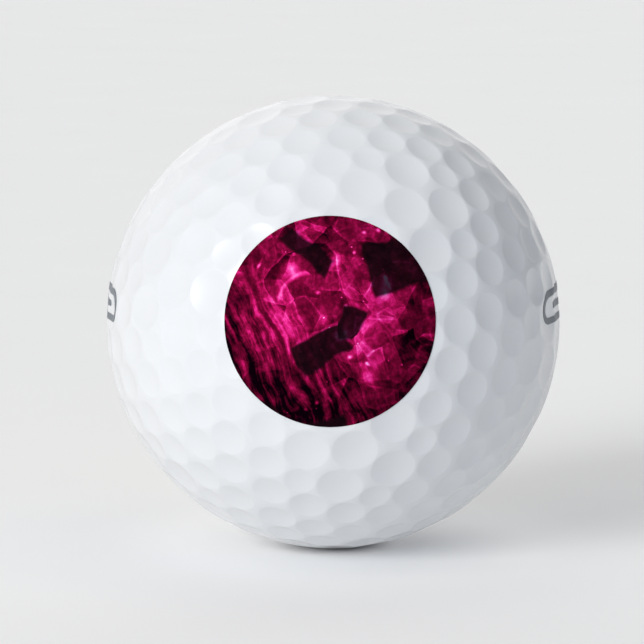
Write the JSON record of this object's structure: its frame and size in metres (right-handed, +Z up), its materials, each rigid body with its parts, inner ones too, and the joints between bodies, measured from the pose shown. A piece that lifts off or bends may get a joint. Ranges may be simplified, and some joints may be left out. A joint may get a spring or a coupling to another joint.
{
  "type": "golf ball",
  "caption": "White dimpled golf ball: a solid rubber core inside a moulded half-shell cover, with a round magenta print on the front and pill-shaped marks on the sides.",
  "frame": {"origin": "lowest point of the ball, the seat on which a tee, a cup or a level floor carries it, straight under the ball's centre", "axes": "+Z up, -Y towards the front print, +X towards the right-hand side mark as the front is seen"},
  "size_m": [0.0428, 0.0427, 0.0427],
  "materials": {
    "white_cover": "glossy white ionomer under a clear coat",
    "rubber_core": "matt moulded rubber",
    "print_ink": "glossy magenta ink artwork, bright and dark glass-like shapes",
    "slate_ink": "slate grey stamped ink"
  },
  "bodies": {
    "root": {"core": "rubber_core", "upper_cover": "white_cover", "lower_cover": "white_cover", "front_print": "print_ink", "left_mark_ring": "slate_ink", "left_mark_bar": "slate_ink", "right_mark_ring": "slate_ink", "right_mark_bar": "slate_ink"}
  },
  "joints": []
}
